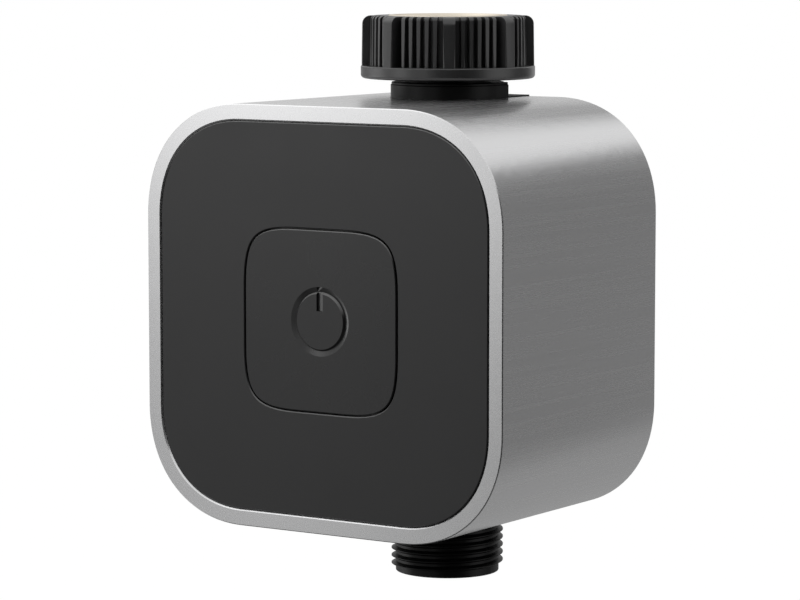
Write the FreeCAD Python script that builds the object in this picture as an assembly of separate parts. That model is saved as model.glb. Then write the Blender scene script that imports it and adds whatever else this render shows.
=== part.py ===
import FreeCAD, Part
import math
import os

# A smart irrigation controller for a garden tap: a square aluminium sleeve with soft corners round a plastic
# core, a dark front panel with a square push button, a swivel nut above and a male hose thread below.
# Inside are a pilot operated diaphragm valve with a latching solenoid, a circuit board and two AA cells
# behind the rear cover.
#
# Shapes are drawn with X to the right as seen from the front, Y back from the front face and Z up from the
# middle of the body. `save` moves each one to the frame of the part, whose origin is on the pipe axis at the
# upper face of the inlet washer. All lengths are in millimetres.

V = FreeCAD.Vector

# Sleeve
body_half = 48.0
corner_reach = 26.05
corner_cut = 7.2
body_depth = 66.9
rim_width = 3.75
sleeve_wall = 2.2
edge_break = 0.2
mouth_break = 0.35

# Front panel, its gasket and the button
panel_gap = 0.12
panel_recess = 0.1
panel_thickness = 2.0
panel_skirt = 1.6
panel_gasket_thickness = 0.6
button_half = 20.4
button_reach = 14.1
button_cut = 2.65
button_gap = 0.35
button_proud = 0.05
button_travel = 0.45
button_play = 0.05
button_flange_overlap = 1.2
button_flange_thickness = 1.1
button_break = 0.2
button_post_r = 2.5
symbol_outer_r = 7.8
symbol_line = 1.55
symbol_depth = 0.45
symbol_steep_width = 0.4
tick_width = 1.7
tick_steep_width = 0.15
tick_end = 2.35

# Silicone mat behind the button
mat_thickness = 1.0
mat_margin = 1.5
mat_hole_gap = 0.5
dome_base_r = 3.0
dome_tip_r = 1.6
dome_place = 14.0

# Core that fills the sleeve
core_gap = 0.15
core_wall = 1.8
switch_window_r = 5.0
post_x = 24.0
post_edge = 13.0
post_r = 3.4
core_screw_r = 1.5
core_screw_length = 14.0

# Pipe axis, neck, spigot and outlet
axis_inset = 14.05
pipe_r = 12.5
bore_r = 8.5
collar_r = 13.4
collar_height = 3.6
collar_back = 5.3
collar_gap = 0.12
collar_root = 5.5
collar_step = 0.2
collar_step_below_top = 0.7
collar_round = 0.2
spigot_r = 10.2
spigot_height = 6.0
thread_major_r = 13.2205
thread_pitch = 1.814
thread_depth = 1.0
thread_end = 14.34
thread_half_angle = 27.5
thread_root_half = 0.3
thread_over = 0.3
thread_run_in = 1.99
thread_run_out = 2.0
nose_r = 12.2
nose_length = 1.71
nose_break = 0.2

# Swivel nut, its brass insert and its retaining ring
nut_gap = 0.85
nut_running_gap = 0.08
nut_r = 20.2
nut_taper = 0.2
nut_rim_r = 20.38
nut_rim_height = 2.95
nut_rim_round = 0.9
nut_lip_round = 0.35
nut_height = 14.55
nut_top_round = 1.9
nut_core_r = 16.6
nut_core_round = 1.0
fin_sink = 1.0
nut_lugs = 8
nut_lug_width = 2.8
nut_lug_turn = 33.5
nut_lug_corner = 0.35
nut_ribs_per_pocket = 5
nut_rib_step = 6.25
nut_rib_width = 1.0
nut_rib_corner = 0.35
nut_rib_r = 18.5
nut_rib_top_round = 0.9
insert_r = 14.9
insert_top_r = 13.9
insert_step = 1.1
insert_proud = 0.2
insert_bore_r = 12.06
insert_relief_r = 12.4
insert_break = 0.8
insert_round = 0.2
insert_thread_below = 0.1
ring_r = 11.7
ring_thickness = 1.2
ring_root = 0.9
ring_slack = 0.1
ring_groove_gap = 0.05
ring_root_gap = 0.1
ring_split = 4.0

# Washer and filter in the inlet
washer_r = 11.9
washer_hole_r = 8.3
washer_thickness = 2.2
filter_flange_r = 9.6
filter_sheet = 0.5
filter_gap = 0.2
filter_depth = 7.0
filter_hole_r = 0.55
filter_hole_step = 1.7
filter_hole_margin = 0.3

# Diaphragm valve
valve_reach = 14.6
valve_flange_half = 20.0
valve_flange_round = 4.0
valve_flange_depth = 6.0
chamber_r = 18.5
chamber_depth = 18.5
annulus_r = 14.5
annulus_depth = 4.5
seat_r = 5.6
seat_wall = 1.6
seat_drop = 1.2
feed_half_width = 5.5
feed_height = 5.0
inlet_floor = 9.0
outlet_roof = 5.0
valve_screw_place = 16.0
valve_screw_r = 1.5
valve_screw_length = 12.0
valve_boss_wall = 1.6
diaphragm_clamp = 1.6
diaphragm_rim_r = 17.8
diaphragm_web = 1.0
diaphragm_draw = 0.1
diaphragm_shoulder = 0.3
diaphragm_hub_r = 9.0
diaphragm_hub_taper = 1.0
disc_r = 8.0
disc_thickness = 1.8
disc_round = 0.4
disc_boss_r = 3.0
disc_boss_height = 1.1
disc_boss_round = 0.3
valve_lift = 2.2
valve_lift_margin = 0.3
bonnet_flange_thickness = 4.4
bonnet_cavity_r = 14.0
bonnet_dome_r = 16.0
bonnet_roof = 2.9
valve_spring_r = 4.2
valve_spring_wire = 0.5
valve_spring_turns = 3

# Solenoid
tube_r = 4.9
tube_wall = 0.4
tube_round = 0.3
tube_flange_r = 7.0
tube_flange_thickness = 0.8
tube_flange_gap = 0.1
pilot_well = 1.0
pilot_nozzle_r = 1.5
pilot_nozzle_height = 0.8
pilot_hole_r = 0.5
yoke_sheet = 1.2
yoke_gap = 0.3
yoke_half_height = 8.0
bobbin_gap = 0.2
bobbin_wall = 0.8
bobbin_flange_r = 10.5
bobbin_flange = 1.0
winding_r = 10.0
armature_gap = 0.08
armature_lift = 0.9
armature_lift_margin = 0.2
core_stub_length = 2.6
armature_seal_r = 2.4
armature_seal_depth = 1.2
armature_seal_proud = 0.4
armature_pocket_r = 2.0
armature_pocket_share = 0.45
armature_spring_r = 1.4
armature_spring_wire = 0.35
armature_spring_turns = 5
magnet_r = 6.0
magnet_thickness = 1.6
magnet_room = 3.0
o_ring_wire_r = 0.5
o_ring_offset = 0.9

# Circuit board and what it carries
board_side = 10.0
board_end = 17.5
board_corner = 4.0
board_thickness = 1.6
switch_size = 6.0
switch_height = 3.5
stem_r = 1.75
stem_gap = 0.08
stem_height = 1.5
stem_depth = 0.5
stem_margin = 0.15
board_boss_inset = 5.0
board_boss_r = 2.8
board_screw_r = 1.2
board_screw_length = 4.2
radio_width = 20.0
radio_height = 14.0
radio_board = 0.8
radio_can = 1.6
radio_can_x = 2.0
radio_can_side = 3.0
radio_can_edge = 1.0
radio_can_corner = 0.8
radio_inset = 10.5
capacitor_r = 4.0
capacitor_length = 11.0
capacitor_x = -20.0
capacitor_z = 12.0
connector_width = 8.0
connector_height = 6.0
connector_depth = 5.0
coil_connector_inset = 7.0
battery_connector_side = 16.0
battery_connector_inset = 6.5
lead_r = 0.6
lead_spread = 2.0
lead_end_gap = 0.05
lead_bend_share = 0.45
lead_pipe_gap = 7.1
lead_flange_gap = 9.0
lead_low_gap = 8.0
lead_long_run = 12.15
lead_short_run = 10.15
lead_entry_run = 11.4
lead_entry_short_run = 10.4
lead_bow_x = 14.0
lead_far_x = 17.0
lead_low_x = 2.0

# Cells, their bay and their contacts
cell_r = 7.25
cell_foot_round = 0.6
cell_shoulder_round = 0.8
cell_length = 50.5
cell_nub_r = 2.75
cell_nub_length = 1.0
cell_side_room = 2.25
cell_inset = 0.9
bay_gap = 0.2
bay_wall = 1.4
contact_room = 3.1
contact_sheet = 0.4
contact_half_width = 5.0
contact_tab_half_width = 1.5
contact_tab_reach = 3.0
contact_ear_margin = 0.8
contact_spring_r = 4.2
contact_spring_wire = 0.8
contact_spring_turns = 2
spring_seat_gap = 0.01

# Rear frame and rear cover
frame_recess = 0.3
frame_thickness = 2.2
filler_proud = 0.3
filler_behind = 0.9
filler_depth = 5.5
cover_inset = 6.5
cover_cell_room = 1.75
cover_wall = 2.0
cover_round = 5.0
cover_root = 0.5
cover_gasket_thickness = 0.6
cover_gasket_width = 1.8
cover_gasket_margin = 0.6
cover_tab_x = 15.0
cover_tab_inset = 4.5
cover_tab_width = 6.0
cover_tab_thickness = 1.8
cover_tab_length = 4.0
cover_tab_gap = 0.3
cover_screw_x = 17.0
cover_screw_inset = 10.5
cover_screw_r = 1.5
cover_screw_sink = 0.3
frame_boss_length = 15.0
frame_boss_floor = 1.0
cover_boss_r = 4.2
frame_boss_r = 3.2
cover_rib_thickness = 1.6
cover_rib_z = 14.0
cover_rib_gap = 0.25
label_half_width = 24.0
label_half_height = 13.0
label_corner = 3.0
label_depth = 0.4

# Screw heads and pilot holes, shared by every screw
head_share = 0.7
head_margin = 1.9
head_height_over_shank = 1.1
head_crown_share = 0.86
head_taper_share = 0.4
drive_width = 0.6
drive_share = 0.845
pilot_gap = 0.05
pilot_spare = 1.0
pass_gap = 0.15

# How far a cut runs past the face that it opens
cut_over = 1.0

# Depths from the front face, stacked from the front
button_front = panel_recess - button_proud
panel_back = panel_recess + panel_thickness
flange_front = panel_back + button_play
flange_back = flange_front + button_flange_thickness
mat_front = flange_back + button_travel + button_play
lip_depth = mat_front + mat_thickness
skirt_back = lip_depth - panel_gasket_thickness
core_plate_back = lip_depth + core_wall
stem_front = lip_depth
switch_front = stem_front + stem_height
board_front = switch_front + switch_height
board_back = board_front + board_thickness

# Depths from the front face, stacked from the rear and from the pipe axis
axis_depth = body_depth - axis_inset
cell_depth = body_depth - cell_inset
frame_back = body_depth - frame_recess
core_back = frame_back - frame_thickness
cover_front = frame_back + cover_gasket_thickness
cover_back = cell_depth + cell_r + cover_cell_room + cover_wall
valve_face = axis_depth - valve_reach
bonnet_seat = valve_face - diaphragm_clamp
bonnet_shoulder = bonnet_seat - bonnet_flange_thickness
disc_back = valve_face - diaphragm_draw - diaphragm_web
disc_front = disc_back - disc_thickness
disc_tip = disc_front - disc_boss_height
cavity_front = disc_tip - valve_lift - valve_lift_margin
bonnet_front = cavity_front - bonnet_roof
tube_seat = bonnet_front + tube_flange_thickness
pilot_floor = tube_seat + pilot_well
nozzle_tip = pilot_floor - pilot_nozzle_height
bobbin_back = bonnet_front - yoke_sheet
yoke_front = board_back + magnet_room + magnet_thickness
bobbin_front = yoke_front + yoke_sheet
tube_front = yoke_front
stub_back = tube_front + tube_wall + core_stub_length
armature_front = stub_back + armature_lift + armature_lift_margin
armature_back = nozzle_tip - armature_seal_proud
armature_pocket_depth = (armature_back - armature_front) * armature_pocket_share
frame_boss_front = cover_front - frame_boss_length
contact_tab_front = cell_depth - cell_r - bay_gap - bay_wall - contact_tab_reach

# Heights from the middle of the body
collar_top = body_half + collar_height
spigot_top = collar_top + spigot_height
nut_bottom = collar_top + nut_gap
nut_lip_top = nut_bottom + nut_rim_height
nut_top = nut_bottom + nut_height
washer_top = spigot_top + washer_thickness
insert_top = nut_top + insert_proud
nose_top = -(body_half + thread_end)
outlet_end = nose_top - nose_length

# Places across the body
post_z = body_half - post_edge
cover_half = body_half - cover_inset
cover_tab_z = cover_half - cover_tab_inset
cover_screw_z = cover_screw_inset - cover_half
cell_x = cover_half - cover_wall - cell_side_room - cell_r
bay_half_length = (cell_length + contact_room) / 2 + contact_sheet
board_half_width = body_half - board_side
board_half_height = body_half - board_end
board_boss_x = board_half_width - board_boss_inset
board_boss_z = board_half_height - board_boss_inset
radio_z = board_half_height - radio_inset
coil_connector_z = board_half_height - coil_connector_inset
battery_connector_x = board_half_width - battery_connector_side
battery_connector_z = battery_connector_inset - board_half_height
# Each chip: x, z, width, height and thickness
front_chips = [
    (-24, 8, 7, 7, 1.0),
    (22, -6, 5, 6, 1.2),
    (-20, -20, 4, 4, 1.6),
    (26, board_boss_z - 9.5, 3, 4, 0.9),
]
back_chips = [
    (22, 4, 8, 8, 2.4),
    (-30, 5.5 - board_boss_z, 5, 4, 1.2),
    (30, board_boss_z - 7.5, 4, 5, 1.2),
]

slot_r = collar_r + collar_gap
o_ring_r = tube_r + o_ring_offset


def save(name, shape):
    """Write one sub-part, moved to the frame of the part."""
    moved = shape.copy()
    moved.translate(V(0, -axis_depth, -washer_top))
    moved.exportStep("parts/" + name + ".step")


class Outline:
    """A square with long soft corners: its half width, how far a corner reaches and how deep it cuts."""

    def __init__(self, half, reach, cut):
        self.half = half
        self.reach = reach
        self.cut = cut

    def inset(self, gap):
        return Outline(self.half - gap, self.reach - gap, self.cut - gap * (1 - math.sqrt(0.5)))

    def wire(self, depth):
        """The outline as a closed wire at one depth, with a Bezier curve for each corner."""
        pull = (4 - 8 * self.cut / self.reach) / 3
        start = self.half - self.reach
        handle = start + pull * self.reach
        poles = [(self.half, start), (self.half, handle), (handle, self.half), (start, self.half)]
        edges = []
        for _ in range(4):
            curve = Part.BezierCurve()
            curve.setPoles([V(x, depth, z) for x, z in poles])
            edges.append(curve.toShape())
            turned_start = V(-poles[0][1], depth, poles[0][0])
            edges.append(Part.makeLine(V(poles[3][0], depth, poles[3][1]), turned_start))
            poles = [(-z, x) for x, z in poles]
        return Part.Wire(edges)


def prism(outline, front, back):
    return Part.Face(outline.wire(front)).extrude(V(0, back - front, 0))


def taper(outline, front, other, back):
    return Part.makeLoft([outline.wire(front), other.wire(back)], True, True)


def broken_prism(outline, front, back, edge):
    """A prism whose front edge is chamfered; a negative edge flares it instead."""
    return taper(outline.inset(edge), front, outline, front + abs(edge)).fuse(
        prism(outline, front + abs(edge), back)
    )


def dome(outline, front, back, radius):
    """A prism whose back edge is rounded."""
    steps = 6
    wires = []
    for step in range(steps + 1):
        turn = math.pi / 2 * step / steps
        wires.append(
            outline.inset(radius * (1 - math.cos(turn))).wire(back - radius * (1 - math.sin(turn)))
        )
    return prism(outline, front, back - radius).fuse(Part.makeLoft(wires, True, False))


def block(x, y, z):
    """A box between two values along each axis, each pair in either order."""
    low = V(min(x), min(y), min(z))
    return Part.makeBox(max(x) - low.x, max(y) - low.y, max(z) - low.z, low)


def rod(radius, front, back, x=0.0, z=0.0):
    """A cylinder along Y."""
    return Part.makeCylinder(radius, back - front, V(x, front, z), V(0, 1, 0))


def cone(front_r, back_r, front, back, x=0.0, z=0.0):
    return Part.makeCone(front_r, back_r, back - front, V(x, front, z), V(0, 1, 0))


def pillar(radius, low, high, x=0.0, depth=axis_depth):
    """A cylinder along Z, on the pipe axis unless another place is given."""
    return Part.makeCylinder(radius, high - low, V(x, depth, low))


def joined(shapes):
    return shapes[0].multiFuse(shapes[1:]).removeSplitter()


def rounded_wire(corners, place):
    """A closed wire through (u, v, radius) corners; place turns u and v into a point."""
    edges = []
    ends = []
    count = len(corners)
    for i in range(count):
        u, v, radius = corners[i]
        here = V(u, v, 0)
        before = V(*corners[i - 1][:2], 0) - here
        after = V(*corners[(i + 1) % count][:2], 0) - here
        before.normalize()
        after.normalize()
        if radius == 0:
            ends.append((here, here))
            continue
        half_turn = before.getAngle(after) / 2
        away = radius / math.tan(half_turn)
        middle = before + after
        middle.normalize()
        start = here + before * away
        end = here + after * away
        crown = here + middle * (radius / math.sin(half_turn) - radius)
        arc = Part.Arc(place(start.x, start.y), place(crown.x, crown.y), place(end.x, end.y))
        edges.append((i, arc.toShape()))
        ends.append((start, end))
    arcs = dict(edges)
    path = []
    for i in range(count):
        if i in arcs:
            path.append(arcs[i])
        leave = ends[i][1]
        arrive = ends[(i + 1) % count][0]
        if (arrive - leave).Length > 1e-6:
            path.append(Part.makeLine(place(leave.x, leave.y), place(arrive.x, arrive.y)))
    return Part.Wire(path)


def turned_z(corners):
    """A solid of revolution about the pipe axis, from (radius, height, rounding) corners."""
    face = Part.Face(rounded_wire(corners, lambda r, z: V(r, axis_depth, z)))
    return face.revolve(V(0, axis_depth, 0), V(0, 0, 1), 360)


def turned_y(corners):
    """A solid of revolution about the valve axis, from (radius, depth, rounding) corners."""
    face = Part.Face(rounded_wire(corners, lambda r, y: V(r, y, 0)))
    return face.revolve(V(0, 0, 0), V(0, 1, 0), 360)


def plate(half_x, half_z, corner, front, back, x=0.0, z=0.0):
    """A rounded rectangular plate square to Y."""
    corners = [
        (x + half_x, z - half_z, corner),
        (x + half_x, z + half_z, corner),
        (x - half_x, z + half_z, corner),
        (x - half_x, z - half_z, corner),
    ]
    wire = rounded_wire(corners, lambda u, v: V(u, front, v))
    return Part.Face(wire).extrude(V(0, back - front, 0))


def head_radius(shank_r):
    return shank_r * head_share + head_margin


def head_height(shank_r):
    return shank_r + head_height_over_shank


def screw(shank_r, length, seat, x, z, toward):
    """A cross head screw along Y whose head sits on `seat`; toward is 1 when it points to the rear."""
    head_r = head_radius(shank_r)
    height = head_height(shank_r)
    top = seat - toward * height
    flat = height * (1 - head_taper_share)
    shank = Part.makeCylinder(shank_r, length, V(x, seat, z), V(0, toward, 0))
    tip = Part.makeCone(shank_r, shank_r / 2, shank_r, V(x, seat + toward * length, z), V(0, toward, 0))
    crown = Part.makeCone(head_r * head_crown_share, head_r, height - flat, V(x, top, z), V(0, toward, 0))
    rim = Part.makeCylinder(head_r, flat, V(x, seat - toward * flat, z), V(0, toward, 0))
    drive = [top - toward * cut_over, top + toward * height / 2]
    arm = drive_share * shank_r
    cross = block((x - arm, x + arm), drive, (z - drive_width / 2, z + drive_width / 2)).fuse(
        block((x - drive_width / 2, x + drive_width / 2), drive, (z - arm, z + arm))
    )
    return joined([shank, tip, crown, rim]).cut(cross)


def arc_from(start, direction, end):
    """The arc that leaves start along a direction and arrives at end."""
    chord = end - start
    along = V(chord)
    along.normalize()
    side = direction - along * direction.dot(along)
    side.normalize()
    rise = chord.Length / 2 * math.tan(direction.getAngle(chord) / 2)
    return Part.Arc(start, (start + end) / 2 + side * rise, end).toShape()


def biarc(start, start_way, end, end_way):
    """Two arcs, tangent to each other, that join two points along given directions."""
    chord = end - start
    ways = start_way + end_way
    bend = 2 * (1 - start_way.dot(end_way))
    reach = (math.sqrt(chord.dot(ways) ** 2 + bend * chord.dot(chord)) - chord.dot(ways)) / bend
    middle = (start + start_way * reach + end - end_way * reach) / 2
    first = arc_from(start, start_way, middle)
    second = arc_from(end, end_way * -1, middle)
    return [first, second]


def coil(radius, wire, turns, seat, room, axis):
    """An open wound spring along an axis, in the room between its seat and what it presses on."""
    rise = (room - wire) / (2 * math.pi * turns)
    steps = 4 * turns
    places = []
    for step in range(steps + 1):
        turn = math.pi / 2 * step
        way = V(-radius * math.sin(turn), radius * math.cos(turn), rise)
        way.normalize()
        places.append((V(radius * math.cos(turn), radius * math.sin(turn), wire / 2 + rise * turn), way))
    edges = []
    for (start, start_way), (end, end_way) in zip(places, places[1:]):
        edges += biarc(start, start_way, end, end_way)
    start, start_way = places[0]
    section = Part.Wire(Part.makeCircle(wire / 2 - spring_seat_gap, start, start_way))
    spring = Part.Wire(edges).makePipeShell([section], True, False)
    spring.Placement = FreeCAD.Placement(seat, FreeCAD.Rotation(V(0, 0, 1), axis))
    return spring


def lead(points, radius):
    """A wire along straight runs joined by arcs as large as its runs allow."""
    edges = []
    last = points[0]
    for i in range(1, len(points) - 1):
        here = points[i]
        before = points[i - 1] - here
        after = points[i + 1] - here
        away = lead_bend_share * min(before.Length, after.Length)
        before.normalize()
        after.normalize()
        half_turn = before.getAngle(after) / 2
        arc_r = away * math.tan(half_turn)
        middle = before + after
        middle.normalize()
        crown = here + middle * (arc_r / math.sin(half_turn) - arc_r)
        start = here + before * away
        end = here + after * away
        edges.append(Part.makeLine(last, start))
        edges.append(Part.Arc(start, crown, end).toShape())
        last = end
    edges.append(Part.makeLine(last, points[-1]))
    path = Part.Wire(edges)
    section = Part.Wire(Part.makeCircle(radius, points[0], points[1] - points[0]))
    return path.makePipeShell([section], True, False)


# The sleeve, the front panel and the button
shell = Outline(body_half, corner_reach, corner_cut)
mouth = shell.inset(rim_width)
core_outline = shell.inset(sleeve_wall + core_gap)
face_outline = mouth.inset(panel_gap)
button_outline = Outline(button_half, button_reach, button_cut)


def neck_slot(low, high, back=cover_back):
    """The U shaped opening round the pipe, open to the rear unless it ends at a depth."""
    return pillar(slot_r, low, high).fuse(block((-slot_r, slot_r), (axis_depth, back), (low, high)))


def make_sleeve():
    outside = broken_prism(shell, 0, body_depth, edge_break)
    inside = broken_prism(mouth, 0, lip_depth, -mouth_break).fuse(
        prism(shell.inset(sleeve_wall), lip_depth, body_depth)
    )
    band = outside.cut(inside)
    reach = body_half + cut_over
    return band.cut([neck_slot(0, reach), neck_slot(-reach, 0)]).removeSplitter()


def make_front_panel():
    face = broken_prism(face_outline, panel_recess, panel_back, edge_break)
    skirt = prism(face_outline, panel_back, skirt_back).cut(
        prism(face_outline.inset(panel_skirt), panel_back, skirt_back)
    )
    window = broken_prism(button_outline.inset(-button_gap), panel_recess, panel_back, -button_break)
    return face.cut(window).fuse(skirt).removeSplitter()


def make_panel_gasket():
    return prism(face_outline, skirt_back, lip_depth).cut(
        prism(face_outline.inset(panel_skirt), skirt_back, lip_depth)
    )


def symbol_groove(steep_side, gentle_side, steep_width):
    """The section of the symbol's groove: steep at one side, then rising gently to the other."""
    over = button_front - cut_over
    return [
        (steep_side, button_front, 0),
        (steep_side, over, 0),
        (gentle_side, over, 0),
        (gentle_side, button_front, 0),
        (steep_side + steep_width, button_front + symbol_depth, 0),
    ]


def make_button():
    cap = broken_prism(button_outline, button_front, flange_front, button_break)
    flange = prism(button_outline.inset(-button_gap - button_flange_overlap), flange_front, flange_back)
    post = rod(button_post_r, flange_back, stem_front)
    symbol_inner_r = symbol_outer_r - symbol_line
    circle = turned_y(symbol_groove(symbol_inner_r, symbol_outer_r, symbol_steep_width))
    groove = symbol_groove(-tick_width / 2, tick_width / 2, tick_steep_width)
    section = [V(x, y, tick_end) for x, y, _ in groove]
    tick_top = math.sqrt(symbol_outer_r**2 - (tick_width / 2) ** 2)
    tick = Part.Face(Part.makePolygon(section + section[:1])).extrude(V(0, 0, tick_top - tick_end))
    return joined([cap, flange, post]).cut([circle, tick])


def make_button_mat():
    grow = button_gap + button_flange_overlap + mat_margin
    mat = prism(button_outline.inset(-grow), mat_front, lip_depth)
    domes = [
        cone(dome_tip_r, dome_base_r, flange_back, mat_front, x * dome_place, z * dome_place)
        for x in (-1, 1)
        for z in (-1, 1)
    ]
    hole = rod(button_post_r + mat_hole_gap, mat_front, lip_depth)
    return joined([mat] + domes).cut(hole)


# The core: front plate, walls, posts for the rear frame and bosses for the board
def corners(x, z):
    return [(sx * x, sz * z) for sx in (-1, 1) for sz in (-1, 1)]


def make_core():
    shape = prism(core_outline, lip_depth, core_back).cut(
        prism(core_outline.inset(core_wall), core_plate_back, core_back)
    )
    posts = [rod(post_r, core_plate_back, core_back, x, z) for x, z in corners(post_x, post_z)]
    bosses = [
        rod(board_boss_r, core_plate_back, board_front, x, z) for x, z in corners(board_boss_x, board_boss_z)
    ]
    shape = joined([shape] + posts + bosses)
    pilot_front = frame_back - core_screw_length - core_screw_r - pilot_spare
    pilots = [
        rod(core_screw_r + pilot_gap, pilot_front, core_back, x, z)
        for x, z in corners(post_x, post_z)
    ]
    pilots += [
        rod(board_screw_r + pilot_gap, lip_depth + core_wall / 2, board_front, x, z)
        for x, z in corners(board_boss_x, board_boss_z)
    ]
    openings = [
        rod(switch_window_r, lip_depth, core_plate_back),
        neck_slot(0, body_half),
        neck_slot(-body_half, 0),
    ]
    return shape.cut(pilots + openings)


def make_core_screws():
    return Part.makeCompound(
        [screw(core_screw_r, core_screw_length, frame_back, x, z, -1) for x, z in corners(post_x, post_z)]
    )


# The rear frame with the cell bays, the cover that closes them and its gasket and screws
def bay(x, radius, half_length, back):
    """A trough for one cell, round at its front and open to the rear."""
    return pillar(radius, -half_length, half_length, x, cell_depth).fuse(
        block((x - radius, x + radius), (cell_depth, back), (-half_length, half_length))
    )


def make_rear_frame():
    slab = prism(core_outline, core_back, frame_back)
    bay_r = cell_r + bay_gap
    room = block((-body_half, body_half), (0, frame_back), (-body_half, body_half))
    troughs = [
        bay(x, bay_r + bay_wall, bay_half_length + bay_wall, frame_back).common(room)
        for x in (-cell_x, cell_x)
    ]
    ear_half = contact_half_width + contact_ear_margin
    ears = [
        block(
            (x - ear_half, x + ear_half),
            (core_back, cell_depth + ear_half),
            (side * bay_half_length, side * (bay_half_length + bay_wall)),
        )
        for x in (-cell_x, cell_x)
        for side in (-1, 1)
    ]
    bosses = [
        rod(frame_boss_r, frame_boss_front, frame_back, x, cover_screw_z)
        for x in (-cover_screw_x, cover_screw_x)
    ]
    filler_back = frame_back + filler_behind
    fillers = [
        block(
            (-collar_r, collar_r),
            (axis_depth, filler_back),
            (side * (body_half - filler_depth), side * (body_half + filler_proud)),
        )
        for side in (-1, 1)
    ]
    frame = joined([slab] + troughs + ears + bosses + fillers)
    reach = body_half + cut_over
    cuts = [bay(x, bay_r, bay_half_length, cover_back) for x in (-cell_x, cell_x)]
    cuts += [pillar(pipe_r + 2 * collar_gap, -reach, reach)]
    slot_back = axis_depth + collar_back + collar_gap
    cuts += [
        neck_slot(body_half - collar_root, reach, slot_back),
        pillar(slot_r, -reach, collar_root - body_half),
    ]
    cuts += [rod(core_screw_r + pass_gap, core_back, frame_back, x, z) for x, z in corners(post_x, post_z)]
    cuts += [
        rod(cover_screw_r + pilot_gap, frame_boss_front + frame_boss_floor, frame_back, x, cover_screw_z)
        for x in (-cover_screw_x, cover_screw_x)
    ]
    cuts += [cover_tab(x, cover_tab_gap, core_back - cut_over) for x in (-cover_tab_x, cover_tab_x)]
    cuts += [contact_slit(x, side) for x in (-cell_x, cell_x) for side in (-1, 1)]
    return frame.cut(cuts)


def contact_slit(x, side):
    """The slit in a bay through which the tab of a contact passes."""
    half = contact_tab_half_width + pass_gap
    low = bay_half_length - contact_sheet - pass_gap
    depth = (contact_tab_front, cell_depth - contact_half_width + cut_over)
    return block((x - half, x + half), depth, (side * low, side * bay_half_length))


def cover_tab(x, grow, front):
    half = cover_tab_width / 2 + grow
    return block(
        (x - half, x + half),
        (front, cover_front),
        (cover_tab_z - cover_tab_thickness / 2 - grow, cover_tab_z + cover_tab_thickness / 2 + grow),
    )


cover_outline = shell.inset(cover_inset)
cover_screw_seat = cover_back - head_height(cover_screw_r) - cover_screw_sink


def make_rear_cover():
    shape = dome(cover_outline, cover_front, cover_back, cover_round).cut(
        dome(cover_outline.inset(cover_wall), cover_front, cover_back - cover_wall, cover_round - cover_wall)
    )
    inner_back = cover_back - cover_wall
    adds = [
        rod(cover_boss_r, cover_front, inner_back + cover_root, x, cover_screw_z)
        for x in (-cover_screw_x, cover_screw_x)
    ]
    tab_front = frame_back - cover_tab_length
    adds += [cover_tab(x, 0, tab_front) for x in (-cover_tab_x, cover_tab_x)]
    adds += [
        block(
            (x - cover_tab_width / 2, x + cover_tab_width / 2),
            (cover_front, inner_back + cover_root),
            (cover_tab_z - cover_tab_thickness / 2, cover_tab_z + cover_tab_thickness / 2),
        )
        for x in (-cover_tab_x, cover_tab_x)
    ]
    rib_front = cell_depth + cell_r + cover_rib_gap
    adds += [
        block(
            (x - cell_r / 2, x + cell_r / 2),
            (rib_front, inner_back + cover_root),
            (z - cover_rib_thickness / 2, z + cover_rib_thickness / 2),
        )
        for x in (-cell_x, cell_x)
        for z in (-cover_rib_z, 0, cover_rib_z)
    ]
    shape = joined([shape] + adds)
    cuts = []
    for x in (-cover_screw_x, cover_screw_x):
        cuts.append(rod(cover_screw_r + pass_gap, cover_front, cover_screw_seat, x, cover_screw_z))
        well_r = head_radius(cover_screw_r) + pass_gap
        cuts.append(rod(well_r, cover_screw_seat, cover_back + cut_over, x, cover_screw_z))
    label_front = cover_back - label_depth
    cuts.append(plate(label_half_width, label_half_height, label_corner, label_front, cover_back + cut_over))
    return shape.cut(cuts)


def make_cover_screws():
    length = cover_screw_seat - frame_boss_front - frame_boss_floor - cover_screw_r - pilot_spare
    return Part.makeCompound(
        [
            screw(cover_screw_r, length, cover_screw_seat, x, cover_screw_z, -1)
            for x in (-cover_screw_x, cover_screw_x)
        ]
    )


def make_cover_gasket():
    outer = cover_outline.inset(cover_gasket_margin)
    return prism(outer, frame_back, cover_front).cut(
        prism(outer.inset(cover_gasket_width), frame_back, cover_front)
    )


# Cells and contacts
def make_cell(x, up):
    """One AA cell; up is 1 when its nub points up."""
    nub_tip = bay_half_length - contact_sheet
    shoulder = nub_tip - cell_nub_length
    foot = nub_tip - cell_length
    can = turned_z(
        [
            (0, foot, 0),
            (cell_r, foot, cell_foot_round),
            (cell_r, shoulder, cell_shoulder_round),
            (0, shoulder, 0),
        ]
    )
    can.translate(V(x, cell_depth - axis_depth, 0))
    nub = pillar(cell_nub_r, shoulder, nub_tip, x, cell_depth)
    cell = can.fuse(nub).removeSplitter()
    if up < 0:
        cell.rotate(V(x, cell_depth, 0), V(0, 1, 0), 180)
    return cell


def make_contact_springs():
    springs = []
    for x, up in ((-cell_x, 1), (cell_x, -1)):
        seat = V(x, cell_depth, -up * (bay_half_length - contact_sheet))
        springs.append(
            coil(contact_spring_r, contact_spring_wire, contact_spring_turns, seat, contact_room, V(0, 0, up))
        )
    return Part.makeCompound(springs)


def make_contact_plates():
    plates = []
    for x in (-cell_x, cell_x):
        for side in (-1, 1):
            span = (side * bay_half_length, side * (bay_half_length - contact_sheet))
            depth = (cell_depth - contact_half_width, cell_depth + contact_half_width)
            face = block((x - contact_half_width, x + contact_half_width), depth, span)
            width = (x - contact_tab_half_width, x + contact_tab_half_width)
            tab = block(width, (contact_tab_front, depth[0]), span)
            plates.append(face.fuse(tab).removeSplitter())
    return Part.makeCompound(plates)


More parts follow.
